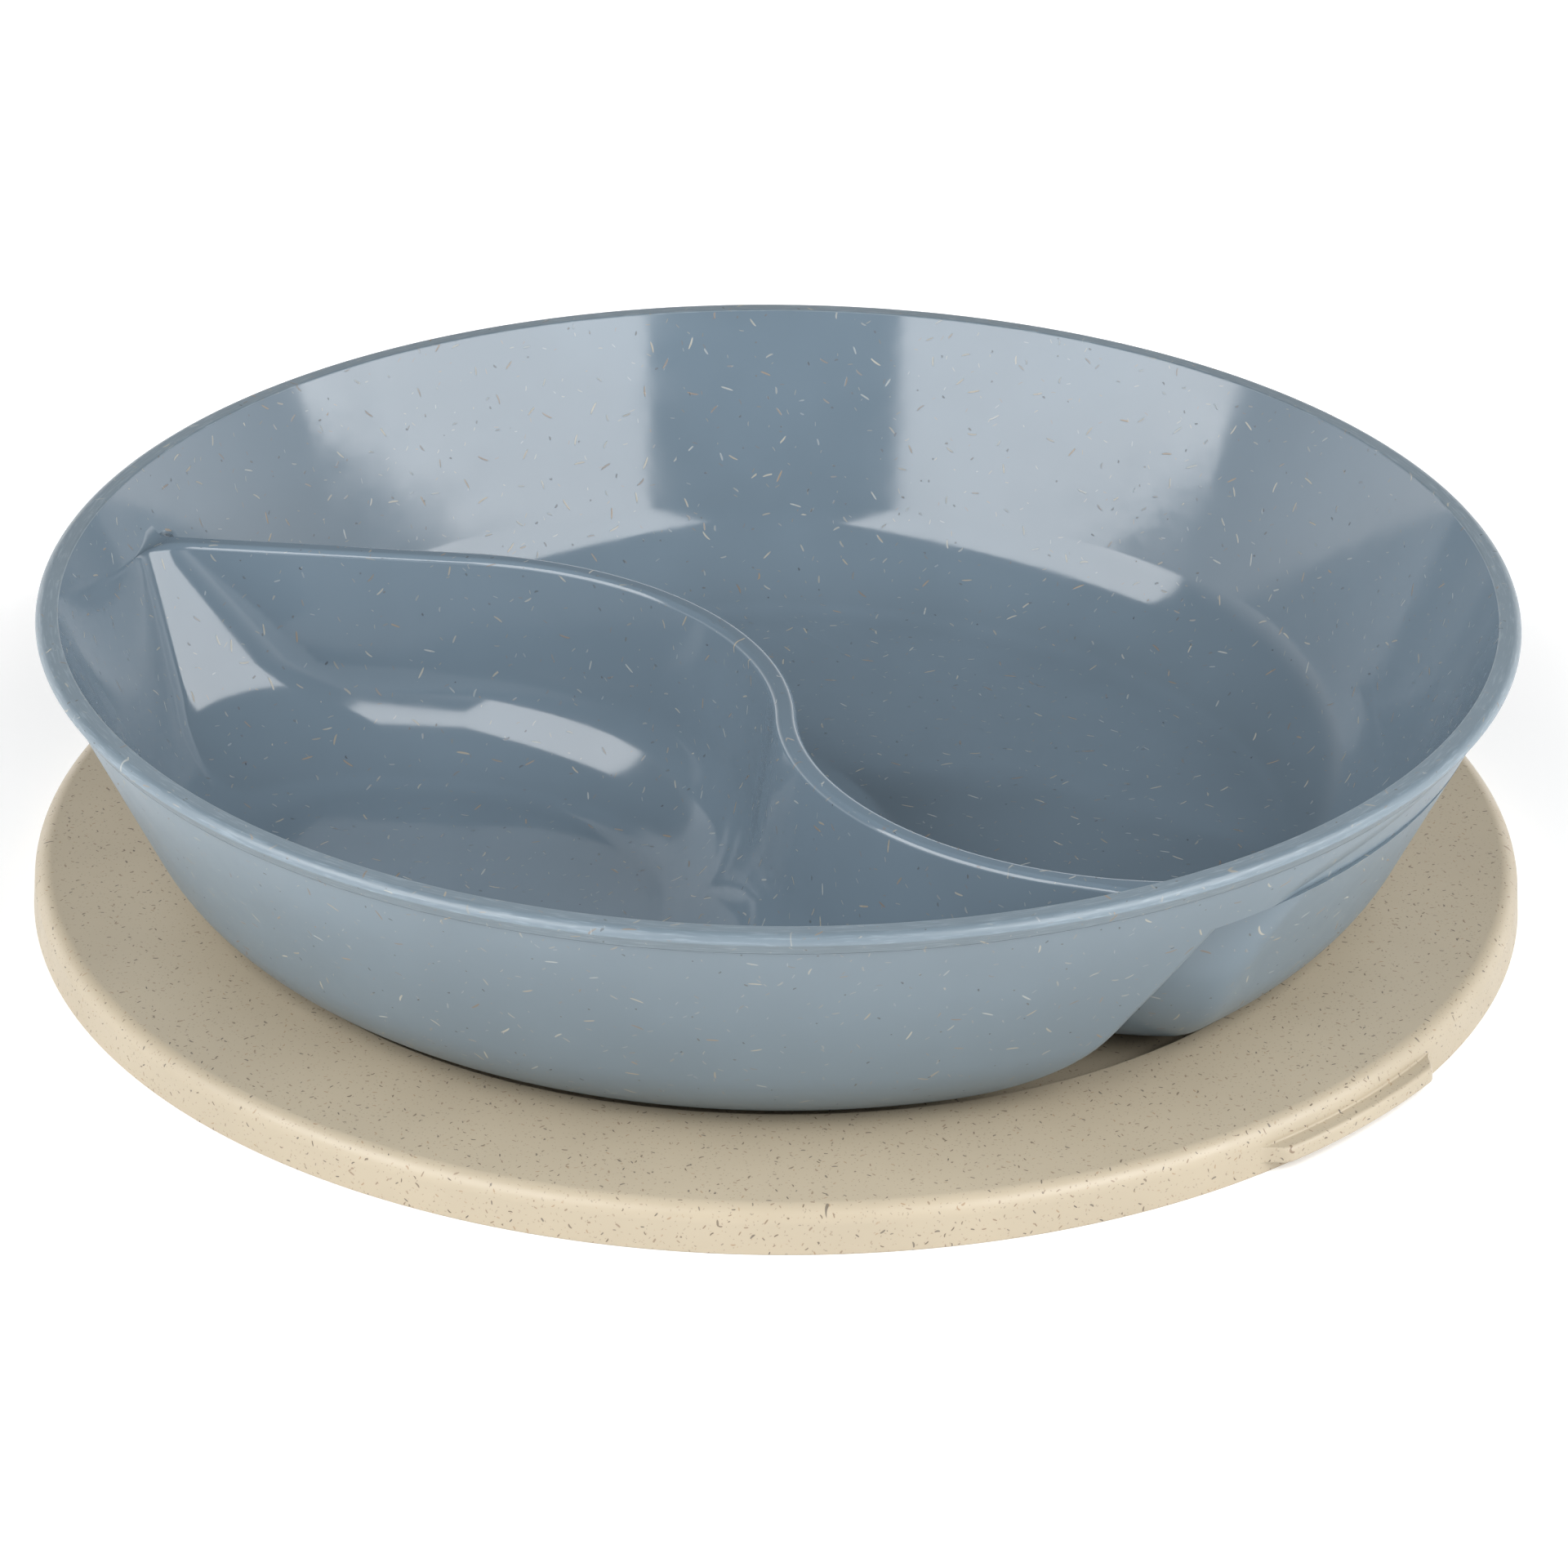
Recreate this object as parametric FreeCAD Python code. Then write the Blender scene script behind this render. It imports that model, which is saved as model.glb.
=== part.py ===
import FreeCAD, Part
import math
import os
from FreeCAD import Vector

# Chip and dip server: a round bowl divided in two by an S-shaped wall, standing
# on its own flat lid, which doubles as a tray.  Millimetres, +Z up.  The origin
# is the centre of the lid's underside, on the surface that the lid stands on.

# ---- lid -----------------------------------------------------------------
LID_RADIUS = 142.9            # at the foot of the skirt
LID_DRAFT = 4.0               # degrees, skirt leans inwards towards the top
LID_HEIGHT = 8.8
LID_WALL = 2.3
LID_EDGE_FILLET = 3.4
WELL_RADIUS = 108.9           # well in the top, where the bowl stands
WELL_DEPTH = 3.2
WELL_DRAFT = 35.0             # degrees from vertical
TAB_AZIMUTH = -43.0           # degrees, middle of the finger tab
TAB_INNER_HALF = 9.8          # half its angular width where it leaves the skirt
TAB_OUTER_HALF = 7.8          # half its angular width at its outer edge
TAB_REACH = 2.9               # how far it stands out of the skirt
TAB_TOP = 5.2
TAB_BOTTOM = 2.2

# ---- bowl ----------------------------------------------------------------
RIM_TOP = 61.1
RIM_RADIUS = 140.0            # largest radius, just under the rounded lip
RIM_INNER_RADIUS = 135.8
RIM_LIP_FILLET = 1.7
BAND_FOOT = 56.8              # lower edge of the thicker band round the rim
BAND_FOOT_RADIUS = 138.4
BAND_STEP = 0.5               # the wall sits this far inside the band
BASE_GAP = 0.2                # clearance under the bowl
WALL_SLOPE = 25.5             # degrees from vertical, outside
INNER_SLOPE = 24.5            # degrees from vertical, inside
WALL = 2.8                    # thickness of floor, divider and wall
BASE_ROUNDING = 30.0          # outside radius between wall and base

# ---- divider -------------------------------------------------------------
RIDGE_TOP = 49.5              # height of the divider's crest
RIDGE_WIDTH = 4.0
DIVIDER_DRAFT = 8.0           # degrees from vertical, each side
NORTH_FOOT_ROUNDING = 29.0    # outside radius at the divider's foot, large pocket
SOUTH_FOOT_ROUNDING = 24.0    # and small pocket
S_RADIUS = 69.5               # both bends, half the rim's radius
S_MIDDLE = Vector(1.3, -29.7, 0)
S_MIDDLE_HEADING = -88.6      # degrees, direction of the S at its middle
S_LEFT_TURN = 82.5            # degrees from the middle to the straight left end
S_RIGHT_TURN = 71.7           # the same on the right, on the divider's south side
S_HEAD_TURN = 124.0           # its north side bends on round the large pocket's head
HEAD_START = (55.0, 8.0)      # left bend to small pocket's head: at crest, at floor
HEAD_RADIUS = (16.0, 52.0)    # radius of the small pocket's head: at crest, at floor
HEAD_TURN = 75.0
RUN_OUT = 170.0               # straight ends, long enough to leave the bowl

BASE_Z = LID_HEIGHT - WELL_DEPTH + BASE_GAP
FLOOR_Z = BASE_Z + WALL
ROOF_Z = RIDGE_TOP - WALL     # underside of the solid above the valley


def polar(radius, degrees):
    """The XY vector of this length and direction."""
    a = math.radians(degrees)
    return Vector(radius * math.cos(a), radius * math.sin(a), 0)


def at(r, z):
    """A point of an outline that is turned about Z."""
    return Vector(r, 0, z)


def lines(points):
    return [Part.LineSegment(a, b).toShape() for a, b in zip(points, points[1:])]


def turn(edges):
    """Solid of revolution about Z from the edges of a closed outline."""
    face = Part.Face(Part.Wire(edges))
    return face.revolve(Vector(0, 0, 0), Vector(0, 0, 1), 360)


def outer_radius(z):
    wall_top = BAND_FOOT_RADIUS - BAND_STEP
    return wall_top - (BAND_FOOT - z) * math.tan(math.radians(WALL_SLOPE))


def inner_radius(z):
    return RIM_INNER_RADIUS - (RIM_TOP - z) * math.tan(math.radians(INNER_SLOPE))


def drum(radius_at, slope, bottom_z, top_z, rounding):
    """Flat base, rounded edge and sloping wall, closed flat at the top."""
    a = math.radians(slope)
    centre_z = bottom_z + rounding
    wall_z = centre_z - rounding * math.sin(a)
    centre_r = radius_at(wall_z) - rounding * math.cos(a)
    middle = math.radians(-(90 + slope) / 2)
    arc = Part.Arc(at(centre_r, bottom_z),
                   at(centre_r + rounding * math.cos(middle),
                      centre_z + rounding * math.sin(middle)),
                   at(radius_at(wall_z), wall_z)).toShape()
    rest = lines([at(radius_at(wall_z), wall_z), at(radius_at(top_z), top_z),
                  at(0, top_z), at(0, bottom_z), at(centre_r, bottom_z)])
    return turn([arc] + rest)


def bend(centre, radius, start, end):
    """Arc about centre from one direction to another, in degrees."""
    points = [centre + polar(radius, d) for d in (start, (start + end) / 2, end)]
    return Part.Arc(*points).toShape()


def side_wire(side, offset, z, foot):
    """Closed outline of everything on one side of the divider: +1 is north.

    offset moves the divider's line into that side; foot is 0 at the crest, 1 at the floor.
    """
    offset = side * offset
    middle = S_MIDDLE + Vector(0, 0, z)
    across = polar(1, S_MIDDLE_HEADING + 90)
    left_centre = middle - across * S_RADIUS
    right_centre = middle + across * S_RADIUS
    left_r = S_RADIUS + offset
    right_r = S_RADIUS - offset
    begin = S_MIDDLE_HEADING + 90
    left = begin + S_LEFT_TURN
    right = begin + (S_HEAD_TURN if side > 0 else S_RIGHT_TURN)
    left_end = left_centre + polar(left_r, left)
    right_end = right_centre - polar(right_r, right)
    edges = [bend(left_centre, left_r, left, begin),
             bend(right_centre, right_r, begin + 180, right + 180)]
    if side < 0:
        run = HEAD_START[0] + foot * (HEAD_START[1] - HEAD_START[0])
        head = HEAD_RADIUS[0] + foot * (HEAD_RADIUS[1] - HEAD_RADIUS[0])
        corner = left_end + polar(run, left + 90)
        centre = corner - polar(head + offset, left)
        edges = [bend(centre, head + offset, left + HEAD_TURN, left)] \
            + lines([corner, left_end]) + edges
        left_end = centre + polar(head + offset, left + HEAD_TURN)
        left = left + HEAD_TURN
    west = left_end + polar(RUN_OUT, left + 90)
    east = right_end + polar(RUN_OUT, right - 90)
    far = lines([east, east + polar(side * RUN_OUT, right),
                 west + polar(side * RUN_OUT, left), west])
    return Part.Wire(lines([west, left_end]) + edges + lines([right_end, east]) + far)


def half_space(side, top_offset, top_z, bottom_z, rounding):
    """One side of the divider: its wall leans back by the draft, its foot is round."""
    lean = (top_z - bottom_z) * math.tan(math.radians(DIVIDER_DRAFT))
    top = side_wire(side, top_offset, top_z, 0)
    bottom = side_wire(side, top_offset + lean, bottom_z, 1)
    block = Part.makeLoft([bottom, top], True, True)
    middle = Part.Vertex(S_MIDDLE + Vector(0, 0, bottom_z))
    foot = [e for e in block.Edges
            if all(abs(v.Z - bottom_z) < 0.01 for v in e.Vertexes)
            and e.distToShape(middle)[0] < RIM_RADIUS]
    return block.makeFillet(rounding, foot)


def pocket(side, radius_at, slope, bottom_z, top_z, top_offset, grow):
    """One compartment as a solid: its inside or its outside surface."""
    base = drum(radius_at, slope, bottom_z, top_z, BASE_ROUNDING - grow)
    foot = NORTH_FOOT_ROUNDING if side > 0 else SOUTH_FOOT_ROUNDING
    block = half_space(side, top_offset, top_z, bottom_z, foot - grow)
    return base.common(block).Solids[0]


def hollow(radius_at, slope, bottom_z, top_z, top_offset, grow, upper_top):
    """Both pockets and the open space over the divider, as one solid."""
    pockets = [pocket(side, radius_at, slope, bottom_z, top_z, top_offset, grow)
               for side in (1, -1)]
    upper = turn(lines([at(0, top_z), at(radius_at(top_z), top_z),
                        at(radius_at(upper_top), upper_top), at(0, upper_top),
                        at(0, top_z)]))
    return upper.fuse(pockets).removeSplitter()


def rim_band():
    """The thick band round the rim: flat top, rounded lip, straight skirt."""
    lip = RIM_LIP_FILLET
    centre_r = RIM_RADIUS - lip
    centre_z = RIM_TOP - lip
    reach = lip * math.sqrt(0.5)
    arc = Part.Arc(at(RIM_RADIUS, centre_z), at(centre_r + reach, centre_z + reach),
                   at(centre_r, RIM_TOP)).toShape()
    rest = lines([at(centre_r, RIM_TOP), at(RIM_INNER_RADIUS, RIM_TOP),
                  at(inner_radius(BAND_FOOT), BAND_FOOT),
                  at(BAND_FOOT_RADIUS, BAND_FOOT), at(RIM_RADIUS, centre_z)])
    return turn([arc] + rest)


def divided_bowl():
    outside = hollow(outer_radius, WALL_SLOPE, BASE_Z, ROOF_Z, 0, 0, BAND_FOOT)
    inside = hollow(inner_radius, INNER_SLOPE, FLOOR_Z, RIDGE_TOP,
                    RIDGE_WIDTH / 2, WALL, RIM_TOP)
    return outside.fuse(rim_band()).removeSplitter().cut(inside).Solids[0]


def finger_tab():
    """Flat plate with slanted ends, standing out of the lid's skirt."""
    inner = LID_RADIUS - 2.0
    outer = LID_RADIUS + TAB_REACH
    inner_ends = (TAB_AZIMUTH - TAB_INNER_HALF, TAB_AZIMUTH + TAB_INNER_HALF)
    outer_ends = (TAB_AZIMUTH - TAB_OUTER_HALF, TAB_AZIMUTH + TAB_OUTER_HALF)
    centre = Vector(0, 0, TAB_BOTTOM)
    edges = [bend(centre, inner, *inner_ends), bend(centre, outer, *outer_ends)]
    for a, b in zip(inner_ends, outer_ends):
        edges += lines([centre + polar(inner, a), centre + polar(outer, b)])
    face = Part.Face(Part.Wire(Part.__sortEdges__(edges)))
    return face.extrude(Vector(0, 0, TAB_TOP - TAB_BOTTOM))


def lid():
    draft = math.tan(math.radians(LID_DRAFT))
    well_lean = WELL_DEPTH * math.tan(math.radians(WELL_DRAFT))
    top_r = LID_RADIUS - LID_HEIGHT * draft
    under = LID_HEIGHT - LID_WALL
    well_z = LID_HEIGHT - WELL_DEPTH
    body = turn(lines([
        at(0, well_z), at(WELL_RADIUS - well_lean, well_z),
        at(WELL_RADIUS, LID_HEIGHT), at(top_r, LID_HEIGHT), at(LID_RADIUS, 0),
        at(LID_RADIUS - LID_WALL, 0), at(LID_RADIUS - LID_WALL - under * draft, under),
        at(WELL_RADIUS + LID_WALL, under),
        at(WELL_RADIUS + LID_WALL - well_lean, well_z - LID_WALL),
        at(0, well_z - LID_WALL), at(0, well_z)]))
    shoulder = [e for e in body.Edges if abs(e.BoundBox.ZMin - LID_HEIGHT) < 0.01
                and e.BoundBox.XMax > top_r - 0.5]
    body = body.makeFillet(LID_EDGE_FILLET, shoulder)
    return body.fuse(finger_tab()).removeSplitter().Solids[0]


os.makedirs("parts", exist_ok=True)
for name, shape in (("divided_bowl", divided_bowl()), ("lid", lid())):
    shape.exportStep("parts/" + name + ".step")
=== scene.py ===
import math

import bpy
import numpy as np
from mathutils import Matrix, Vector
from mathutils.geometry import tessellate_polygon


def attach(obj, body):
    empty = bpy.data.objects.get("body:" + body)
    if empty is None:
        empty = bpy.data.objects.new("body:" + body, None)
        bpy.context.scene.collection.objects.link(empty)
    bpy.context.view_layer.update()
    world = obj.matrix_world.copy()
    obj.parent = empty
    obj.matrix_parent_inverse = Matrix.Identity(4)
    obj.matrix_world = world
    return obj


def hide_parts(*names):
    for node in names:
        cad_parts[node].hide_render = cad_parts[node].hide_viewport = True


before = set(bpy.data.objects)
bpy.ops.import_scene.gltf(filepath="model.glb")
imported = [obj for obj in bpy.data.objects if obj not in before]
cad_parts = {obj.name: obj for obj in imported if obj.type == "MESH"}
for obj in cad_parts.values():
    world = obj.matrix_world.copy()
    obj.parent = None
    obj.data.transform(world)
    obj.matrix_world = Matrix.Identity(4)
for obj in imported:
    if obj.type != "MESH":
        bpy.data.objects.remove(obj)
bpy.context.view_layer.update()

# Chip and dip server. Lengths in the mesh code are millimetres and are turned into metres at the end.

# ---- dimensions, as in the CAD source ------------------------------------------
LID_RADIUS, LID_DRAFT, LID_HEIGHT, LID_WALL, LID_EDGE = 142.9, 4.0, 8.8, 2.3, 3.4
WELL_RADIUS, WELL_DEPTH, WELL_DRAFT = 108.9, 3.2, 35.0
TAB_AZIMUTH, TAB_INNER_HALF, TAB_OUTER_HALF = -43.0, 9.8, 7.8
TAB_REACH, TAB_TOP = 2.9, 5.2
RIM_TOP, RIM_RADIUS, RIM_INNER, RIM_LIP = 61.1, 140.0, 135.8, 1.7
BAND_FOOT, BAND_FOOT_RADIUS, BAND_STEP = 56.8, 138.4, 0.5
BASE_Z, WALL = 5.8, 2.8
FLOOR_Z = BASE_Z + WALL
WALL_SLOPE, INNER_SLOPE, BASE_ROUNDING = 25.5, 24.5, 30.0
RIDGE_TOP, RIDGE_HALF, DIVIDER_DRAFT = 49.5, 2.0, 8.0
ROOF_Z = RIDGE_TOP - WALL
S_RADIUS = 69.5
S_MIDDLE = np.array([1.3, -29.7])
S_HEADING, S_LEFT, S_RIGHT, S_HEAD = -88.6, 82.5, 71.7, 124.0
HEAD_START, HEAD_RADIUS, HEAD_TURN = (55.0, 8.0), (16.0, 52.0), 75.0
FOOT_ROUNDING = {1: 29.0, -1: 24.0}      # side 1 is the large pocket, side -1 the small one
ARC_BACK = -60.0              # degrees; further back from an arc's start the line is straight
CENTRES = {1: np.array([40.0, 45.0]), -1: np.array([-38.0, -82.0])}   # from where rings are drawn

# ---- small roundings, which the CAD source leaves out or makes plainer ---------
LID_FOOT_EDGE, WELL_LIP, BAND_EDGE, INNER_LIP, RIDGE_EDGE = 0.3, 0.8, 0.25, 0.4, 1.2
TAIL_ROUNDING, HEAD_ROUNDING = 4.6, 11.0  # outside corners at the pockets' narrow and wide ends
INSIDE_LESS = 0.6             # the inside corners' roundings are this much smaller
MIDDLE_DISC = 2.0             # radius of the fan that closes the lid's middle

# ---- the fold, the crest's ends and the tab ------------------------------------
FOLD_AZIMUTHS = (-50.0, -48.0, -45.0, -41.0, -36.0, -31.0, -26.0, -21.0)
FOLD_HEIGHTS = (45.6, 46.9, 48.6, 50.4, 52.2, 53.6, 54.8, 56.0)
FOLD_DEPTH, FOLD_BEND = 0.8, 4.5
FOLD_STARTS, FOLD_ENDS = (-49.5, -45.0), (-44.0, -14.0)
FOLD_FADE = 25.0              # height over which the fold fades in above the base
END_FILLETS = (7.5, 2.5)      # at the crest's left and right end
FILLET_ROOM, FILLET_FADE, FILLET_LIFT = 0.92, 9.0, 0.01
UNLIMITED = 99.0              # room where the crest's edge sets no bound
TAB_SECTION = (               # share of the tab's reach, height; from the skirt's foot up
    (0.0, 0.321), (0.0, 1.2), (0.0, 2.1), (0.3, 2.2), (0.75, 2.2), (0.9, 2.3), (0.97, 2.45),
    (1.0, 2.7), (1.0, 3.4), (1.0, 4.1), (0.99, 4.4), (0.965, 4.65), (0.925, 4.87), (0.87, 5.04),
    (0.8, 5.15), (0.71, 5.2), (0.4, 5.2), (0.1, 5.2), (0.04, 5.26), (0.01, 5.4), (0.0, 5.63))

# ---- mesh spacing --------------------------------------------------------------
STEP = 0.9                    # between points round a pocket
FOOT_TURN, FOOT_LEVELS, FOOT_SCALE = (1.2, 68.0), 30, 27.0
WALL_LEVELS, EDGE_LEVELS = 14, 10
OUTER_LEVELS = 34
FAR, CORNER_DEPTH = 230.0, 60.0   # how far along a direction a surface is looked for
FLOOR_RINGS = (0.2, 0.45, 0.7, 0.9)
FILLET_COLUMNS, FILLET_ROWS = 61, 13
TAB_COLUMNS, SKIRT_COLUMNS = 241, 1400
FULL_TURN = np.linspace(0.0, 2 * math.pi, 1441)[:-1]


def tan(degrees):
    return math.tan(math.radians(degrees))


def polar(degrees):
    return np.array([math.cos(math.radians(degrees)), math.sin(math.radians(degrees))])


def smoothstep(a, b, x):
    t = np.clip((x - a) / (b - a), 0.0, 1.0)
    return t * t * (3.0 - 2.0 * t)


# ---- distance functions --------------------------------------------------------
def profile(n, z, n_wall, slope, bottom, rounding):
    """Distance outside a wall n = n_wall + z tan(slope), a base and their rounding."""
    s = math.radians(slope)
    cz = bottom + rounding
    cn = n_wall + (cz - rounding * math.sin(s)) * math.tan(s) - rounding * math.cos(s)
    wall = (n - n_wall - z * math.tan(s)) * math.cos(s)
    base = bottom - z
    vn, vz = n - cn, z - cz
    turn = np.degrees(np.arctan2(vz, vn))
    round_part = np.hypot(vn, vz) - rounding
    return np.where((turn > -90.0) & (turn < -slope), round_part,
                    np.where((turn <= -90.0) | (turn > 135.0), base, wall))


def turned(point, centre, start):
    """Angle of point about centre, counted from the direction start, -180 to 180."""
    a = np.degrees(np.arctan2(point[1] - centre[1], point[0] - centre[0])) - start
    return (a + 180.0) % 360.0 - 180.0


def divider(x, y, side, foot):
    """Signed distance from the divider's line in plan, positive inside pocket side."""
    begin = S_HEADING + 90.0
    across = polar(begin)
    left_c, right_c = S_MIDDLE - across * S_RADIUS, S_MIDDLE + across * S_RADIUS
    ahead = (x - S_MIDDLE[0]) * polar(S_HEADING)[0] + (y - S_MIDDLE[1]) * polar(S_HEADING)[1]
    left_dir = polar(begin + S_LEFT)
    arc = np.hypot(x - left_c[0], y - left_c[1]) - S_RADIUS
    line = (x - left_c[0]) * left_dir[0] + (y - left_c[1]) * left_dir[1] - S_RADIUS
    left = np.where(turned((x, y), left_c, begin) > S_LEFT, line, arc)
    left = np.where(turned((x, y), left_c, begin) < ARC_BACK, line, left)
    if side < 0:
        run = HEAD_START[0] + foot * (HEAD_START[1] - HEAD_START[0])
        head = HEAD_RADIUS[0] + foot * (HEAD_RADIUS[1] - HEAD_RADIUS[0])
        back = polar(begin + S_LEFT + 90.0)
        cx = left_c[0] + left_dir[0] * (S_RADIUS - head) + back[0] * run
        cy = left_c[1] + left_dir[1] * (S_RADIUS - head) + back[1] * run
        round_head = np.hypot(x - cx, y - cy) - head
        end_dir = polar(begin + S_LEFT + HEAD_TURN)
        beyond = (x - cx) * end_dir[0] + (y - cy) * end_dir[1] - head
        a = turned((x, y), (cx, cy), begin + S_LEFT)
        past = (a > 0.0) & ((x - cx) * back[0] + (y - cy) * back[1] > 0.0)
        left = np.where(past, np.where(a > HEAD_TURN, beyond, round_head), left)
    end = S_HEAD if side > 0 else S_RIGHT
    end_dir = -polar(begin + end)
    arc = S_RADIUS - np.hypot(x - right_c[0], y - right_c[1])
    line = S_RADIUS - (x - right_c[0]) * end_dir[0] - (y - right_c[1]) * end_dir[1]
    a = turned((x, y), right_c, begin + 180.0)
    right = np.where((a > end) | (a < ARC_BACK), line, arc)
    return side * np.where(ahead < 0.0, left, right)


def meet(a, b, cosine, radius):
    """Both distances together, with their shared edge rounded to a radius."""
    u, v = a + radius, b + radius
    inner = np.sqrt(np.maximum(u * u + v * v - 2 * cosine * u * v, 0.0) / (1 - cosine ** 2)) - radius
    return np.where((u > cosine * v) & (v > cosine * u), inner, np.maximum(a, b))


def set_back(x, y, z):
    """How far the large pocket's outer wall stands back under the fold beside the valley."""
    azimuth = np.degrees(np.arctan2(y, x))
    fold = np.interp(azimuth, FOLD_AZIMUTHS, FOLD_HEIGHTS)
    depth = FOLD_DEPTH * smoothstep(*FOLD_STARTS, azimuth) * (1.0 - smoothstep(*FOLD_ENDS, azimuth))
    return depth * np.clip((fold + FOLD_BEND - z) / FOLD_BEND, 0.0, 1.0) ** 2


def outer_cone(x, y, z):
    """Distance outside the bowl's outer wall, above its foot."""
    start = BAND_FOOT_RADIUS - BAND_STEP - BAND_FOOT * tan(WALL_SLOPE)
    r = np.hypot(x, y) + set_back(x, y, z)
    return (r - start - z * tan(WALL_SLOPE)) * math.cos(math.radians(WALL_SLOPE))


def pocket_parts(x, y, z, side, inside):
    """The round wall's and the divider wall's distances, for one pocket."""
    grow = WALL if inside else 0.0
    bottom, top = (FLOOR_Z, RIDGE_TOP) if inside else (BASE_Z, ROOF_Z)
    offset = RIDGE_HALF if inside else 0.0
    r = np.hypot(x, y)
    if inside:
        start, slope = RIM_INNER - RIM_TOP * tan(INNER_SLOPE), INNER_SLOPE
    else:
        start, slope = BAND_FOOT_RADIUS - BAND_STEP - BAND_FOOT * tan(WALL_SLOPE), WALL_SLOPE
        if side > 0:
            r = r + set_back(x, y, z) * smoothstep(bottom, bottom + FOLD_FADE, z)
    drum = profile(r, z, start, slope, bottom, BASE_ROUNDING - grow)
    foot = np.clip((top - z) / (top - bottom), 0.0, 1.0)
    n = -divider(x, y, side, foot)
    if inside:
        rise = np.clip(z - (top - RIDGE_EDGE), 0.0, RIDGE_EDGE)
        n = n - RIDGE_EDGE + np.sqrt(np.maximum(RIDGE_EDGE ** 2 - rise ** 2, 0.0))
    wall = profile(n, z, -offset - top * tan(DIVIDER_DRAFT), DIVIDER_DRAFT, bottom,
                   FOOT_ROUNDING[side] - grow)
    return drum, wall


def gradient(function, x, y, z, step=0.01):
    """Unit gradients of each distance that the function returns."""
    moved = []
    for way in np.eye(3) * step:
        ahead = function(x + way[0], y + way[1], z + way[2])
        behind = function(x - way[0], y - way[1], z - way[2])
        moved.append(np.asarray(ahead) - np.asarray(behind))
    g = np.stack(moved, axis=-1)
    return g / np.maximum(np.linalg.norm(g, axis=-1, keepdims=True), 1e-9)


# ---- meshes --------------------------------------------------------------------
class Builder:
    """Collects points, their normals and the faces of one mesh."""

    def __init__(self):
        self.points, self.normals, self.faces, self.finish, self.count = [], [], [], [], 0

    def add(self, points, normals):
        self.points.append(points.reshape(-1, 3))
        self.normals.append(normals.reshape(-1, 3))
        first = self.count
        self.count += len(self.points[-1])
        return np.arange(first, self.count)

    def join(self, faces, finish):
        self.faces += faces
        self.finish += [finish] * len(faces)

    def grid(self, points, normals, closed=True, flip=False, finish=0):
        """Quads between rows of points; closed joins each row's end to its start."""
        rows, columns = points.shape[:2]
        ids = self.add(points, normals).reshape(rows, columns)
        after = np.roll(ids, -1, axis=1) if closed else ids[:, 1:]
        here = ids if closed else ids[:, :-1]
        quads = np.stack([here[:-1], after[:-1], after[1:], here[1:]], axis=-1).reshape(-1, 4)
        self.join((quads[:, ::-1] if flip else quads).tolist(), finish)
        return ids

    def fan(self, ring, centre, normal, flip=False, finish=0):
        """Triangles from a closed ring of point ids to one centre."""
        middle = self.add(np.array([centre]), np.array([normal]))[0]
        after = np.roll(ring, -1)
        first, second = (after, ring) if flip else (ring, after)
        self.join([[middle, int(p), int(q)] for p, q in zip(first, second)], finish)

    def make(self, name, body, node, materials):
        mesh = bpy.data.meshes.new(name)
        mesh.from_pydata((np.concatenate(self.points) / 1000.0).tolist(), [], self.faces)
        mesh.polygons.foreach_set("use_smooth", [True] * len(mesh.polygons))
        mesh.polygons.foreach_set("material_index", self.finish)
        for material in materials:
            mesh.materials.append(material)
        mesh.normals_split_custom_set_from_vertices(np.concatenate(self.normals).tolist())
        made = bpy.data.objects.new(name, mesh)
        bpy.context.scene.collection.objects.link(made)
        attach(made, body)
        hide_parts(node)
        return made


def bisect(function, centre, directions, low, high, times=26):
    """How far from centre along each direction the function turns positive."""
    for _ in range(times):
        middle = (low + high) / 2
        outside = function(*(centre[:, None] + directions.T * middle)) > 0.0
        low, high = np.where(outside, low, middle), np.where(outside, middle, high)
    return (low + high) / 2


def pocket_ring(side, inside, level, directions):
    """One level line of a pocket's surface, with the directions that lead out of the pocket."""
    centre = CENTRES[side]
    height = np.full(len(directions), level)
    many = np.ones(len(directions))

    def parts(x, y, z):
        return pocket_parts(x, y, z, side, inside)

    sharp = bisect(lambda x, y: np.maximum(*parts(x, y, height)), centre, directions,
                   many, many * FAR)
    x, y = centre[:, None] + directions.T * sharp
    drum_way, wall_way = gradient(parts, x, y, height)
    cosine = np.clip((drum_way * wall_way).sum(axis=-1), -0.95, 0.95)
    radius = np.where(x * side < 0.0, TAIL_ROUNDING, HEAD_ROUNDING) - (INSIDE_LESS if inside else 0.0)

    def rounded(x, y, z):
        return meet(*parts(x, y, z), cosine, radius)

    r = bisect(lambda x, y: rounded(x, y, height), centre, directions,
               np.maximum(sharp - CORNER_DEPTH, 1.0), sharp + 0.01)
    x, y = centre[:, None] + directions.T * r
    return np.column_stack([x, y, height]), gradient(rounded, x, y, height)


def even_directions(side, inside, level):
    """Directions from the pocket's centre that space points evenly along its edge."""
    fine = np.linspace(0.0, 2 * math.pi, 4001)[:-1]
    edge, _ = pocket_ring(side, inside, level, np.column_stack([np.cos(fine), np.sin(fine)]))
    length = np.linalg.norm(np.diff(edge, axis=0, append=edge[:1]), axis=1)
    total = np.concatenate([[0.0], np.cumsum(length)])
    wanted = np.linspace(0.0, total[-1], int(total[-1] / STEP) + 1)[:-1]
    angle = np.interp(wanted, total, np.append(fine, 2 * math.pi))
    return np.column_stack([np.cos(angle), np.sin(angle)])


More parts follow.
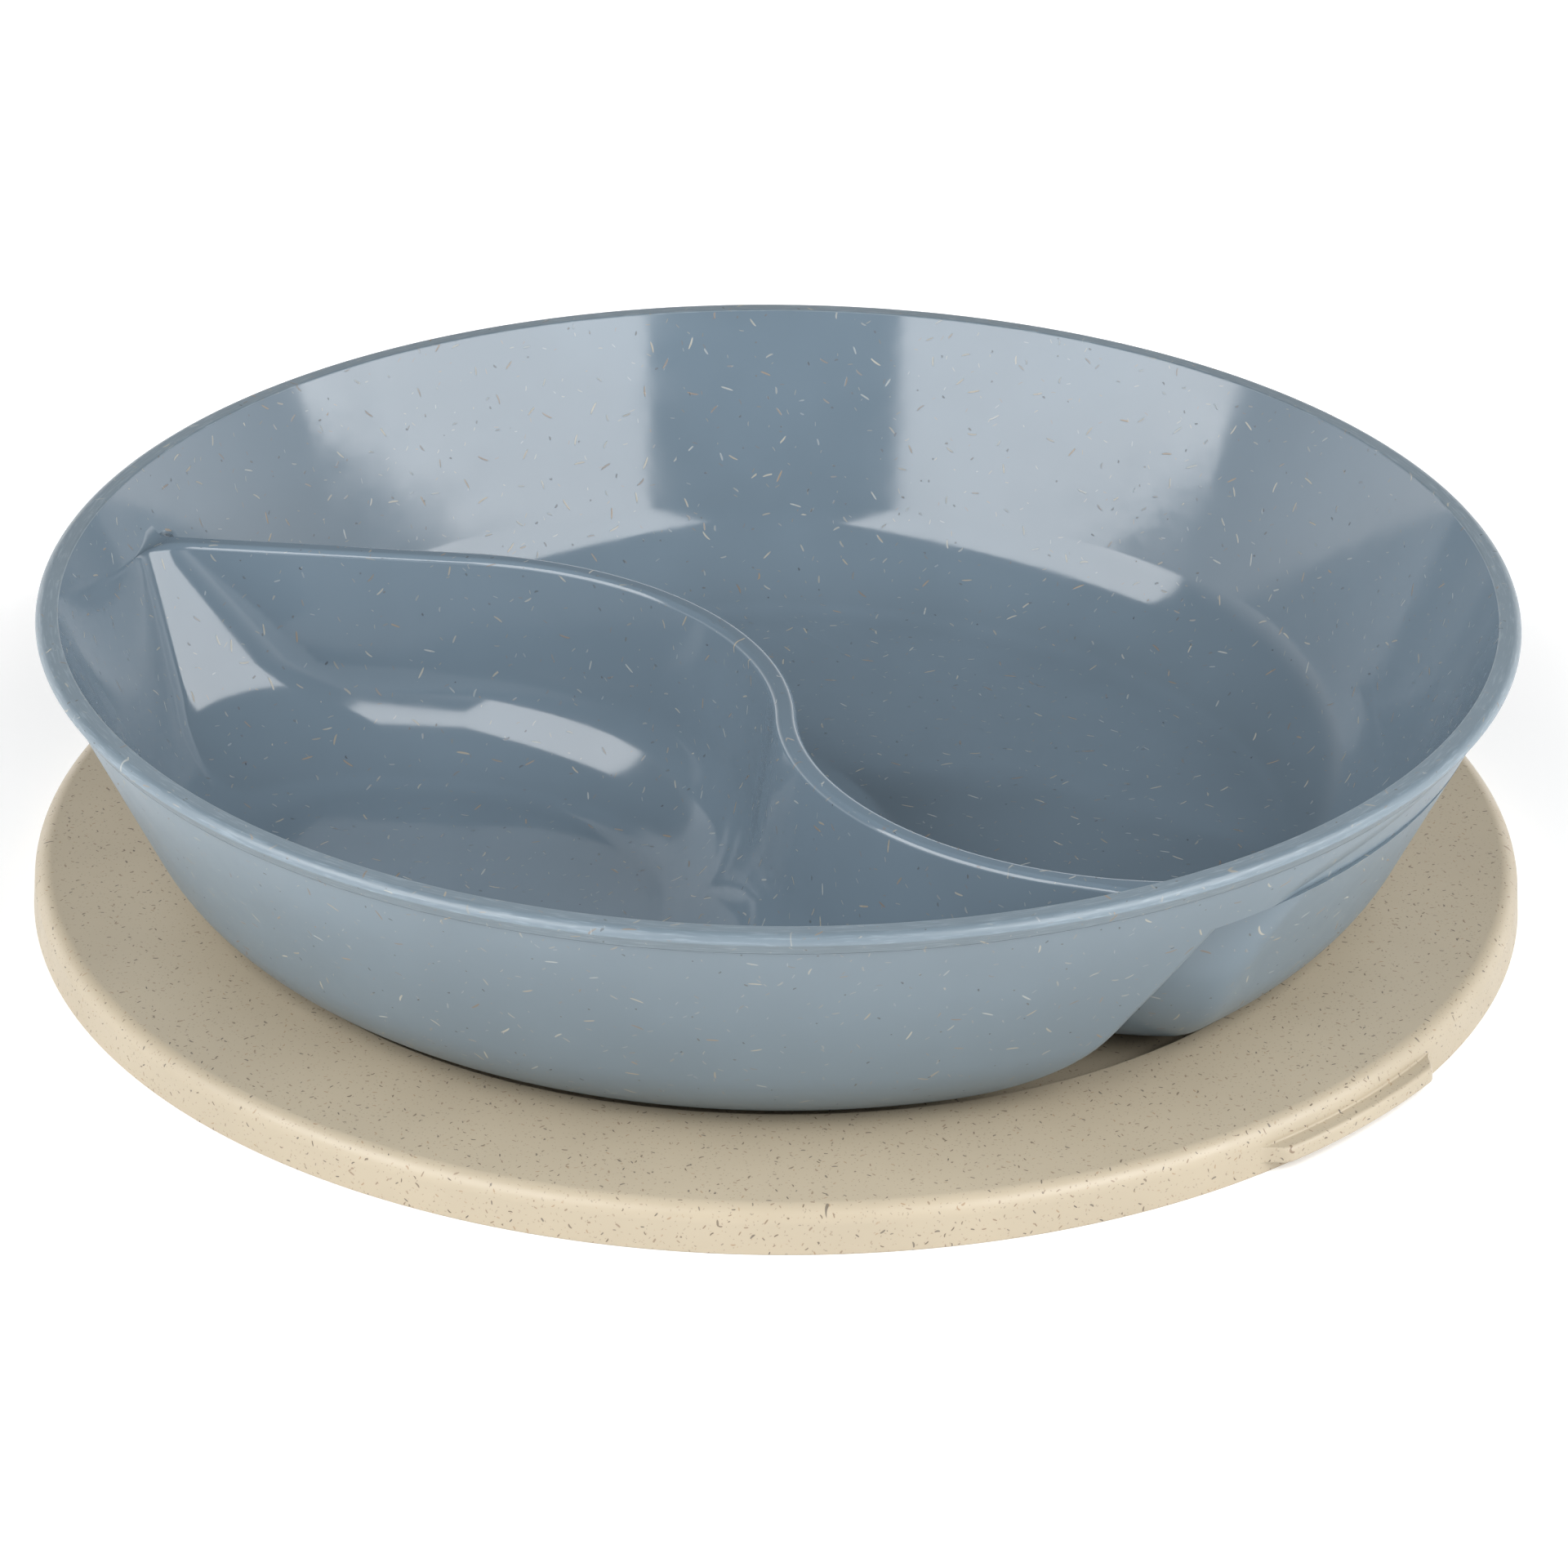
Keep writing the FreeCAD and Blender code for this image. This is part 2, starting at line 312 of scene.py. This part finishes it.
def pocket_surface(builder, side, inside):
    """The pocket's wall and floor; returns its top edge."""
    bottom, top = (FLOOR_Z, RIDGE_TOP) if inside else (BASE_Z, ROOF_Z)
    d = even_directions(side, inside, (bottom + top) / 2)
    rounded = bottom + FOOT_SCALE * (1 - np.cos(np.radians(np.linspace(*FOOT_TURN, FOOT_LEVELS))))
    levels = [rounded, np.linspace(rounded[-1], top - RIDGE_EDGE, WALL_LEVELS)[1:]]
    if inside:
        edge_turn = np.radians(np.linspace(9, 90, EDGE_LEVELS))
        levels.append(top - RIDGE_EDGE + RIDGE_EDGE * np.sin(edge_turn))
    else:
        levels.append([top])
    levels = np.concatenate(levels)
    levels[-1] = top - 1e-4
    sign = -1.0 if inside else 1.0
    rings = [pocket_ring(side, inside, level, d) for level in levels]
    points = [ring[0] for ring in rings]
    normals = [ring[1] * sign for ring in rings]
    flat = np.tile([0.0, 0.0, -sign], (len(d), 1))
    centre = np.array([*CENTRES[side], bottom])
    floor = []
    for share in FLOOR_RINGS:
        ring = centre + (points[0] - centre) * share
        ring[:, 2] = bottom
        floor.append(ring)
    finish = 0 if inside else 1
    ids = builder.grid(np.array(floor + points), np.array([flat] * len(floor) + normals),
                       flip=inside, finish=finish)
    builder.fan(ids[0], centre, flat[0], flip=not inside, finish=finish)
    return points[-1]


def divider_part(edge, limit):
    """The run of a pocket's top edge that doesn't touch the round wall."""
    free = np.hypot(edge[:, 0], edge[:, 1]) < limit - 0.02
    start = int(np.nonzero(free & ~np.roll(free, 1))[0][0])
    edge, free = np.roll(edge, -start, axis=0), np.roll(free, -start)
    return edge[:int(np.argmin(free))]


def end_turn(run, after):
    """Angles on the round wall from where one divider run ends to where the next begins."""
    a = math.atan2(run[-1, 1], run[-1, 0])
    b = math.atan2(after[0, 1], after[0, 0])
    return a, a + (b - a + math.pi) % (2 * math.pi) - math.pi


def between(builder, edges, limit, inside):
    """The flat strip between the two pockets: the crest, or the valley's roof."""
    north, south = (divider_part(edge, limit) for edge in edges)
    level = north[0, 2]
    loop = []
    for run, after in ((north, south), (south, north)):
        way = np.linspace(*end_turn(run, after), 14)
        loop += [run, np.column_stack([limit * np.cos(way), limit * np.sin(way),
                                       np.full(len(way), level)])]
    loop = np.concatenate(loop)
    corners = tessellate_polygon([[Vector(p) for p in loop]])
    up = 1.0 if inside else -1.0
    ids = builder.add(loop, np.tile([0.0, 0.0, up], (len(loop), 1)))
    faces = []
    for i, j, k in corners:
        u, v = loop[j] - loop[i], loop[k] - loop[i]
        rising = (u[0] * v[1] - u[1] * v[0]) * up > 0.0
        faces.append([int(ids[n]) for n in ((i, j, k) if rising else (i, k, j))])
    builder.join(faces, 0 if inside else 1)


def room_beside(edge, limit, a, way):
    """How far from the round wall the crest's edge lies, at each angle of way."""
    last = FILLET_COLUMNS - 1
    turn = (np.arctan2(edge[:, 1], edge[:, 0]) - a + math.pi) % (2 * math.pi) - math.pi
    order = np.argsort(turn[:last])
    gap = (limit - np.hypot(edge[:, 0], edge[:, 1]))[:last][order]
    return np.interp(way - a, turn[:last][order], gap, left=UNLIMITED, right=UNLIMITED)


def crest_ends(builder, edges, limit):
    """Hollow fillets, laid over the crest's flat ends, that carry them up into the round wall."""
    north, south = (divider_part(edge, limit) for edge in edges)
    lean = math.radians(INNER_SLOPE)
    for run, after, size in ((north, south, END_FILLETS[0]), (south, north, END_FILLETS[1])):
        a, b = end_turn(run, after)
        way = np.linspace(a, b, FILLET_COLUMNS)
        room = np.full(len(way), UNLIMITED)
        for edge in (run[::-1], after):
            room = np.minimum(room, room_beside(edge, limit, a, way))
        reach = np.minimum(room * FILLET_ROOM, size) + 1e-3
        column = np.arange(FILLET_COLUMNS)
        ends = np.minimum(column, column[::-1]) / FILLET_FADE
        reach = reach * smoothstep(0.0, 1.0, ends) + 1e-3
        rows, normals = [], []
        for t in np.linspace(0.0, 1.0, FILLET_ROWS):
            r = limit - reach * (1 - t) ** 2 + reach * math.sin(lean) * t * t
            z = RIDGE_TOP + reach * math.cos(lean) * t * t + FILLET_LIFT
            dr = 2 * (1 - t) + 2 * t * math.sin(lean)
            dz = 2 * t * math.cos(lean)
            slant = math.hypot(dr, dz)
            rows.append(np.column_stack([r * np.cos(way), r * np.sin(way), z]))
            normals.append(np.column_stack([-dz / slant * np.cos(way), -dz / slant * np.sin(way),
                                            np.full(len(way), dr / slant)]))
        builder.grid(np.array(rows), np.array(normals), closed=False, flip=b > a)


def revolve(builder, outline, angles=FULL_TURN, finish=1):
    """A turned surface through an outline of (r, z, nr, nz), going anticlockwise in section."""
    c, s = np.cos(angles), np.sin(angles)
    rows = [np.column_stack([r * c, r * s, np.full(len(c), z)]) for r, z, _, _ in outline]
    normals = [np.column_stack([nr * c, nr * s, np.full(len(c), nz)]) for _, _, nr, nz in outline]
    builder.grid(np.array(rows), np.array(normals), closed=angles is FULL_TURN, finish=finish)


def straight(a, b, pieces=1):
    """Outline run between two (r, z) points, with the material on its left."""
    dr, dz = b[0] - a[0], b[1] - a[1]
    size = math.hypot(dr, dz)
    normal = (dz / size, -dr / size)
    return [(a[0] + dr * t, a[1] + dz * t, *normal) for t in np.linspace(0, 1, pieces + 1)]


def arc(centre, radius, start, end, pieces=8):
    """Outline run round an outward corner."""
    out = []
    for t in np.radians(np.linspace(start, end, pieces + 1)):
        out.append((centre[0] + radius * math.cos(t), centre[1] + radius * math.sin(t),
                    math.cos(t), math.sin(t)))
    return out


def inner_lip(r, z, slope, radius):
    """Outline round the inner edge of a flat top at height z, onto a wall that slopes inward."""
    centre = (r - radius * tan(slope) + radius / math.cos(math.radians(slope)), z - radius)
    return arc(centre, radius, 90, 180 - slope, 6)


def outer_wall(builder):
    """The outer wall from the valley's roof up to the rim's band, with the fold beside the valley."""
    rows = []
    for level in np.linspace(ROOF_Z, BAND_FOOT, OUTER_LEVELS):
        r = BAND_FOOT_RADIUS - BAND_STEP - (BAND_FOOT - level) * tan(WALL_SLOPE)
        x, y = r * np.cos(FULL_TURN), r * np.sin(FULL_TURN)
        z = np.full(len(x), level)
        shrink = 1.0 - set_back(x, y, z) / r
        rows.append(np.column_stack([x * shrink, y * shrink, z]))
    normals = [gradient(outer_cone, *row.T) for row in rows]
    builder.grid(np.array(rows), np.array(normals), finish=1)


def build_bowl(materials):
    builder = Builder()
    tops = [pocket_surface(builder, side, True) for side in (1, -1)]
    roofs = [pocket_surface(builder, side, False) for side in (1, -1)]
    crest_r = RIM_INNER - (RIM_TOP - RIDGE_TOP) * tan(INNER_SLOPE)
    inner_edge = inner_lip(RIM_INNER, RIM_TOP, INNER_SLOPE, INNER_LIP)
    roof_r = BAND_FOOT_RADIUS - BAND_STEP - (BAND_FOOT - ROOF_Z) * tan(WALL_SLOPE)
    between(builder, tops, crest_r, True)
    between(builder, roofs, roof_r, False)
    crest_ends(builder, tops, crest_r)
    outer_wall(builder)
    lip = (RIM_RADIUS - RIM_LIP, RIM_TOP - RIM_LIP)
    foot = (BAND_FOOT_RADIUS - BAND_STEP, BAND_FOOT)
    revolve(builder, straight(foot, (BAND_FOOT_RADIUS - BAND_EDGE, BAND_FOOT))
            + arc((BAND_FOOT_RADIUS - BAND_EDGE, BAND_FOOT + BAND_EDGE), BAND_EDGE, -90, -8, 5))
    revolve(builder, straight((BAND_FOOT_RADIUS, BAND_FOOT + BAND_EDGE), (RIM_RADIUS, lip[1]), 4)
            + arc(lip, RIM_LIP, 0, 90, 14)
            + straight((lip[0], RIM_TOP), inner_edge[0][:2], 3) + inner_edge)
    revolve(builder, straight(inner_edge[-1][:2], (crest_r, RIDGE_TOP), 6), finish=0)
    return builder.make("bowl_shell", "bowl", "divided_bowl", materials)


def grid_normals(points):
    """Normals of an open grid of points, from its own shape."""
    along = np.gradient(points, axis=1)
    up = np.gradient(points, axis=0)
    n = np.cross(along, up)
    size = np.linalg.norm(n, axis=-1, keepdims=True)
    outward = points * [1.0, 1.0, 0.0]
    outward = outward / np.linalg.norm(outward, axis=-1, keepdims=True)
    return np.where(size > 1e-9, n / np.maximum(size, 1e-9), outward)


def skirt_radius(z):
    return LID_RADIUS - z * tan(LID_DRAFT)


def finger_tab(builder):
    """The skirt's stretch with the tab: a shelf with a rounded lip and slanted ends."""
    half = TAB_INNER_HALF
    away = np.linspace(-half, half, TAB_COLUMNS)
    full = TAB_REACH + LID_RADIUS - skirt_radius(TAB_TOP)
    ramp = np.clip((half - np.abs(away)) / (half - TAB_OUTER_HALF), 0.0, 1.0)
    reach = full * (ramp - 0.09 * np.sin(2 * math.pi * ramp))
    a = np.radians(away + TAB_AZIMUTH)
    rows = []
    for share, z in TAB_SECTION:
        r = skirt_radius(z) + reach * share
        rows.append(np.column_stack([r * np.cos(a), r * np.sin(a), np.full(len(a), z)]))
    rows = np.array(rows)
    builder.grid(rows, grid_normals(rows), closed=False)


def build_lid(material):
    builder = Builder()
    lean = WELL_DEPTH * tan(WELL_DRAFT)
    well_z = LID_HEIGHT - WELL_DEPTH
    under = LID_HEIGHT - LID_WALL
    edge_z = LID_HEIGHT - LID_EDGE
    edge_r = skirt_radius(edge_z) - LID_EDGE / math.cos(math.radians(LID_DRAFT))
    edge = arc((edge_r, edge_z), LID_EDGE, LID_DRAFT, 90, 16)
    low = WELL_RADIUS - lean
    well_edge = inner_lip(WELL_RADIUS, LID_HEIGHT, WELL_DRAFT, WELL_LIP)
    fine = LID_FOOT_EDGE
    foot = skirt_radius(fine) - fine / math.cos(math.radians(LID_DRAFT))
    foot_arc = arc((foot, fine), fine, 270, 360 + LID_DRAFT, 5)
    half = math.radians(TAB_INNER_HALF)
    middle = math.radians(TAB_AZIMUTH)
    rest = np.linspace(middle + half, middle - half + 2 * math.pi, SKIRT_COLUMNS)
    turned_runs = [
        edge + straight((edge_r, LID_HEIGHT), well_edge[0][:2], 6) + well_edge,
        straight(well_edge[-1][:2], (low, well_z), 3),
        straight((low, well_z), (MIDDLE_DISC, well_z), 10),
        straight((MIDDLE_DISC, well_z - LID_WALL), (low + LID_WALL, well_z - LID_WALL), 10),
        straight((low + LID_WALL, well_z - LID_WALL), (WELL_RADIUS + LID_WALL, under), 3),
        straight((WELL_RADIUS + LID_WALL, under), (skirt_radius(under) - LID_WALL, under), 3),
        straight((skirt_radius(under) - LID_WALL, under), (LID_RADIUS - LID_WALL, fine), 3)
        + arc((LID_RADIUS - LID_WALL + fine, fine), fine, 180, 270, 4)
        + straight((LID_RADIUS - LID_WALL + fine, 0.0), (foot, 0.0)) + foot_arc]
    for run in turned_runs:
        revolve(builder, run, finish=0)
    top = edge[0][:2]
    revolve(builder, straight(foot_arc[-1][:2], top, 8), rest, finish=0)
    finger_tab(builder)
    for z, up in ((well_z, 1.0), (well_z - LID_WALL, -1.0)):
        edge = np.column_stack([MIDDLE_DISC * np.cos(FULL_TURN), MIDDLE_DISC * np.sin(FULL_TURN),
                                np.full(len(FULL_TURN), z)])
        ring = builder.add(edge, np.tile([0.0, 0.0, up], (len(edge), 1)))
        builder.fan(ring, (0.0, 0.0, z), (0.0, 0.0, up), flip=up < 0)
    return builder.make("tray_lid", "lid", "lid", [material])


# ---- materials -----------------------------------------------------------------
IOR = 1.56


class Graph:
    """A material's node tree, written as expressions."""

    def __init__(self, name, roughness):
        self.material = bpy.data.materials.new(name)
        self.material.use_nodes = True
        self.tree = self.material.node_tree
        self.shader = self.tree.nodes["Principled BSDF"]
        self.shader.inputs["Roughness"].default_value = roughness
        self.shader.inputs["IOR"].default_value = IOR
        where = self.tree.nodes.new("ShaderNodeTexCoord")
        self.place, self.normal = where.outputs["Object"], where.outputs["Normal"]

    def put(self, socket, value):
        if isinstance(value, bpy.types.NodeSocket):
            self.tree.links.new(value, socket)
        else:
            socket.default_value = value

    def node(self, kind, values=None, **settings):
        made = self.tree.nodes.new("ShaderNode" + kind)
        for key, value in settings.items():
            setattr(made, key, value)
        for key, value in (values or {}).items():
            self.put(made.inputs[key], value)
        return made

    def maths(self, operation, *values, clamp=False):
        made = self.node("Math", operation=operation, use_clamp=clamp)
        for socket, value in zip(made.inputs, values):
            self.put(socket, value)
        return made.outputs[0]

    def vector(self, operation, *values):
        made = self.node("VectorMath", operation=operation)
        for socket, value in zip(made.inputs, values):
            self.put(socket, value)
        return made.outputs["Value" if operation in ("DOT_PRODUCT", "LENGTH") else "Vector"]

    def blend(self, share, a, b):
        made = self.node("Mix", data_type="RGBA")
        for socket, value in zip((made.inputs[0], made.inputs[6], made.inputs[7]), (share, a, b)):
            self.put(socket, value)
        return made.outputs[2]

    def span(self, value, low, high, to_low=0.0, to_high=1.0):
        made = self.node("MapRange", {"Value": value, "From Min": low, "From Max": high,
                                      "To Min": to_low, "To Max": to_high},
                         interpolation_type="SMOOTHSTEP")
        return made.outputs[0]

    def noise(self, scale, detail, place=None):
        made = self.node("TexNoise", {"Vector": place or self.place, "Scale": scale,
                                      "Detail": detail})
        return made.outputs[0]

    def fibres(self, spacing, length, width, chance, seed):
        """Mask, colour choice and strength of short fibres lying in the surface, sizes in mm."""
        shifted = self.vector("ADD", self.place, (seed, seed * 0.7, -seed * 0.4))
        cell = self.node("TexVoronoi", {"Vector": shifted, "Scale": 1000.0 / spacing})
        draw = self.node("TexWhiteNoise", {"Vector": cell.outputs["Position"]})
        pick = self.node("SeparateColor", {"Color": draw.outputs["Color"]})
        kind, size, there = pick.outputs[0], pick.outputs[1], pick.outputs[2]
        offset = self.vector("SUBTRACT", shifted, cell.outputs["Position"])
        way = self.vector("SUBTRACT", cell.outputs["Color"], (0.5, 0.5, 0.5))
        along = self.vector("NORMALIZE", self.vector("CROSS_PRODUCT", self.normal, way))
        across = self.vector("CROSS_PRODUCT", self.normal, along)
        a = self.vector("DOT_PRODUCT", offset, along)
        c = self.vector("DOT_PRODUCT", offset, across)
        grow = self.maths("MULTIPLY_ADD", size, 0.9, 0.4)
        a = self.maths("DIVIDE", a, self.maths("MULTIPLY", grow, length / 2000.0))
        curve = self.maths("MULTIPLY", self.maths("SUBTRACT", kind, 0.5), 1.6)
        c = self.maths("DIVIDE", c, width / 2000.0)
        c = self.maths("SUBTRACT", c, self.maths("MULTIPLY", curve, self.maths("MULTIPLY", a, a)))
        away = self.maths("ADD", self.maths("POWER", self.maths("ABSOLUTE", a), 3.0),
                          self.maths("MULTIPLY", c, c))
        mask = self.span(away, 1.25, 0.65)
        mask = self.maths("MULTIPLY", mask, self.maths("LESS_THAN", there, chance))
        return mask, kind, size

    def colours(self, choice, stops):
        made = self.node("ValToRGB", {"Fac": choice})
        ramp = made.color_ramp
        ramp.interpolation = "CONSTANT"
        while len(ramp.elements) < len(stops):
            ramp.elements.new(1.0)
        for n, (element, colour) in enumerate(zip(ramp.elements, stops)):
            element.position = n / len(stops)
            element.color = (*colour, 1.0)
        return made.outputs[0]

    def bump(self, height, strength, distance, after=None):
        made = self.node("Bump", {"Height": height, "Strength": strength, "Distance": distance})
        if after is not None:
            self.put(made.inputs["Normal"], after)
        return made.outputs[0]


INSIDE, OUTSIDE = (0.134, 0.180, 0.222), (0.138, 0.181, 0.215)
# Pale blue-grey for the rim's ring lines: a painted sheen that stands in for the light the fine lines
# catch.
PAINTED_RIM_SHEEN = (0.42, 0.50, 0.56, 1.0)
STRAW = ((0.40, 0.37, 0.30), (0.33, 0.28, 0.20), (0.36, 0.37, 0.35), (0.27, 0.19, 0.11),
         (0.36, 0.33, 0.26), (0.20, 0.14, 0.09))
HUSK = ((0.05, 0.05, 0.05), (0.08, 0.065, 0.05), (0.035, 0.03, 0.03))


def bowl_plastic(name, tint, roughness, rim_lines_and_sheen):
    """Blue-grey straw-filled plastic: pale fibres, dark husk specks and a faint unevenness; optionally
    fine ring lines on the rim as bumps, with a painted sheen along them.
    """
    g = Graph(name, roughness)
    tone = g.span(g.noise(28.0, 3.0), 0.3, 0.7, 0.96, 1.04)
    base = g.vector("SCALE", tint)
    g.put(base.node.inputs["Scale"], tone)
    straw, kind, size = g.fibres(spacing=7.2, length=2.1, width=0.36, chance=0.85, seed=0.0)
    fine, fine_kind, _ = g.fibres(spacing=4.6, length=1.0, width=0.22, chance=0.6, seed=0.37)
    husk, husk_kind, _ = g.fibres(spacing=8.5, length=0.7, width=0.34, chance=0.6, seed=0.81)
    colour = g.blend(g.maths("MULTIPLY", straw, g.span(size, 0.0, 1.0, 0.2, 0.7)), base,
                     g.colours(kind, STRAW))
    colour = g.blend(g.maths("MULTIPLY", fine, 0.35), colour, g.colours(fine_kind, STRAW))
    colour = g.blend(g.maths("MULTIPLY", husk, 0.6), colour, g.colours(husk_kind, HUSK))
    wavy = g.bump(g.noise(120.0, 2.0), strength=0.035, distance=0.0006)
    pips = g.maths("ADD", straw, husk)
    wavy = g.bump(pips, strength=0.25, distance=0.00008, after=wavy)
    if rim_lines_and_sheen:
        flat = g.node("SeparateXYZ", {"Vector": g.place})
        x, y, z = flat.outputs
        r = g.maths("SQRT", g.maths("ADD", g.maths("MULTIPLY", x, x), g.maths("MULTIPLY", y, y)))
        around = g.maths("MULTIPLY", g.maths("ARCTAN2", y, x), 0.012)
        ring = g.node("CombineXYZ", {"X": r, "Y": z, "Z": around})
        lines = g.noise(2600.0, 2.0, ring.outputs[0])
        on_rim = g.span(z, (BAND_FOOT - 0.3) / 1000.0, (BAND_FOOT + 0.3) / 1000.0)
        lines = g.maths("MULTIPLY", lines, on_rim)
        wavy = g.bump(lines, strength=0.35, distance=0.00012, after=wavy)
        # The ring lines are real bumps; lightening the colour along them paints their sheen.
        colour = g.blend(g.maths("MULTIPLY", g.span(lines, 0.5, 0.75), 0.18), colour, PAINTED_RIM_SHEEN)
    rough = g.maths("ADD", g.span(g.noise(90.0, 3.0), 0.3, 0.7, roughness - 0.02, roughness + 0.03),
                    g.maths("MULTIPLY", pips, 0.18))
    g.put(g.shader.inputs["Base Color"], colour)
    g.put(g.shader.inputs["Roughness"], rough)
    g.put(g.shader.inputs["Normal"], wavy)
    return g.material


LID_COLOUR = (0.405, 0.345, 0.252)
BRAN = ((0.10, 0.07, 0.045), (0.20, 0.14, 0.09), (0.07, 0.055, 0.045), (0.28, 0.19, 0.11))


def lid_plastic():
    """Beige straw-filled plastic with many fine brown specks."""
    g = Graph("lid_plastic", 0.42)
    tone = g.span(g.noise(35.0, 3.0), 0.3, 0.7, 0.97, 1.03)
    base = g.vector("SCALE", LID_COLOUR)
    g.put(base.node.inputs["Scale"], tone)
    bran, kind, size = g.fibres(spacing=2.3, length=0.72, width=0.25, chance=0.85, seed=0.13)
    dust, dust_kind, _ = g.fibres(spacing=1.3, length=0.40, width=0.17, chance=0.7, seed=0.53)
    big, big_kind, _ = g.fibres(spacing=6.0, length=0.95, width=0.36, chance=0.8, seed=0.91)
    colour = g.blend(g.maths("MULTIPLY", bran, g.span(size, 0.0, 1.0, 0.2, 0.9)), base,
                     g.colours(kind, BRAN))
    colour = g.blend(g.maths("MULTIPLY", dust, 0.4), colour, g.colours(dust_kind, BRAN))
    colour = g.blend(g.maths("MULTIPLY", big, 0.75), colour, g.colours(big_kind, BRAN[:3]))
    wavy = g.bump(g.noise(420.0, 3.0), strength=0.12, distance=0.0002)
    wavy = g.bump(bran, strength=-0.2, distance=0.00006, after=wavy)
    rough = g.span(g.noise(110.0, 3.0), 0.3, 0.7, 0.38, 0.47)
    g.put(g.shader.inputs["Base Color"], colour)
    g.put(g.shader.inputs["Roughness"], rough)
    g.put(g.shader.inputs["Normal"], wavy)
    return g.material


# ---- floor, light and camera -----------------------------------------------------
LOW_SKY, HIGH_SKY, SKY_BAND = 1.8, 0.02, (0.10, 0.45)
BOX_RADIANCE, BOX_AWAY, BOX_AIM = 5.6, 0.8, 0.04
NEAR_GLOW, FAR_GLOW, GLOW_RADII = 0.22, 0.62, (0.15, 0.27)
FLOOR_SIDE, FLOOR_BACK = 4, 6
ELEVATION, PAN, TILT, ROLL = 0.4545, -0.0011, -0.0156, -0.009
DISTANCE, AIM_HEIGHT, SENSOR, FOCAL_LENGTH = 1.19298, 0.040, 36.0, 143.525625


def sky():
    """Light from all round, strong near the horizon and weak above."""
    world = bpy.data.worlds.new("studio")
    bpy.context.scene.world = world
    world.use_nodes = True
    tree = world.node_tree
    way = tree.nodes.new("ShaderNodeTexCoord")
    parts = tree.nodes.new("ShaderNodeSeparateXYZ")
    fade = tree.nodes.new("ShaderNodeMapRange")
    fade.interpolation_type = "SMOOTHSTEP"
    for key, value in zip(("From Min", "From Max", "To Min", "To Max"), (*SKY_BAND, LOW_SKY, HIGH_SKY)):
        fade.inputs[key].default_value = value
    tree.links.new(way.outputs["Generated"], parts.inputs[0])
    tree.links.new(parts.outputs[2], fade.inputs["Value"])
    tree.links.new(fade.outputs[0], tree.nodes["Background"].inputs["Strength"])
    tree.nodes["Background"].inputs["Color"].default_value = (1, 1, 1, 1)


def panel(name, azimuth, elevation, size):
    """A soft box that faces the object; azimuth 0 is the camera's side."""
    data = bpy.data.lights.new(name, "AREA")
    data.shape = "RECTANGLE"
    data.size, data.size_y = size
    data.energy = BOX_RADIANCE * math.pi * size[0] * size[1]
    made = bpy.data.objects.new(name, data)
    bpy.context.scene.collection.objects.link(made)
    a, e = math.radians(azimuth), math.radians(elevation)
    aim = Vector((0, 0, BOX_AIM))
    made.location = aim + BOX_AWAY * Vector((math.sin(a) * math.cos(e), -math.cos(a) * math.cos(e),
                                             math.sin(e)))
    made.rotation_euler = (aim - made.location).to_track_quat("-Z", "Y").to_euler()


def floor():
    """A pale floor that glows away from the object, so that it reads as white paper."""
    x, back = FLOOR_SIDE, FLOOR_BACK
    mesh = bpy.data.meshes.new("floor")
    mesh.from_pydata([(-x, -x, 0), (x, -x, 0), (x, back, 0), (-x, back, 0)], [], [(0, 1, 2, 3)])
    made = bpy.data.objects.new("floor", mesh)
    bpy.context.scene.collection.objects.link(made)
    paper = Graph("floor", 1.0)
    pale = paper.span(paper.noise(12.0, 3.0), 0.3, 0.7, 0.80, 0.82)
    paper.put(paper.shader.inputs["Base Color"], pale)
    paper.shader.inputs["Emission Color"].default_value = (1, 1, 1, 1)
    glow = paper.span(paper.vector("LENGTH", paper.place), *GLOW_RADII, NEAR_GLOW, FAR_GLOW)
    paper.put(paper.shader.inputs["Emission Strength"], glow)
    paper.shader.inputs["Specular IOR Level"].default_value = 0.0
    mesh.materials.append(paper.material)


def camera():
    """Looks down at the object from the front, with a slight pan, tilt and roll."""
    data = bpy.data.cameras.new("camera")
    data.sensor_width = SENSOR
    data.lens = FOCAL_LENGTH
    data.clip_start, data.clip_end = 0.05, 20.0
    made = bpy.data.objects.new("camera", data)
    bpy.context.scene.collection.objects.link(made)
    away = Vector((0.0, -math.cos(ELEVATION), math.sin(ELEVATION)))
    place = Matrix.Translation(away * DISTANCE + Vector((0, 0, AIM_HEIGHT)))
    for angle, axis in ((math.pi / 2 - ELEVATION, "X"), (PAN, "Y"), (TILT, "X"), (-ROLL, "Z")):
        place = place @ Matrix.Rotation(angle, 4, axis)
    made.matrix_world = place
    bpy.context.scene.camera = made


build_bowl([bowl_plastic("bowl_inside", INSIDE, 0.10, False),
            bowl_plastic("bowl_outside", OUTSIDE, 0.36, True)])
build_lid(lid_plastic())
bpy.context.scene.view_settings.view_transform = "Standard"
sky()
panel("left_box", -56.0, 36.0, (0.88, 0.47))
panel("right_box", 60.0, 36.0, (0.93, 0.47))
floor()
camera()
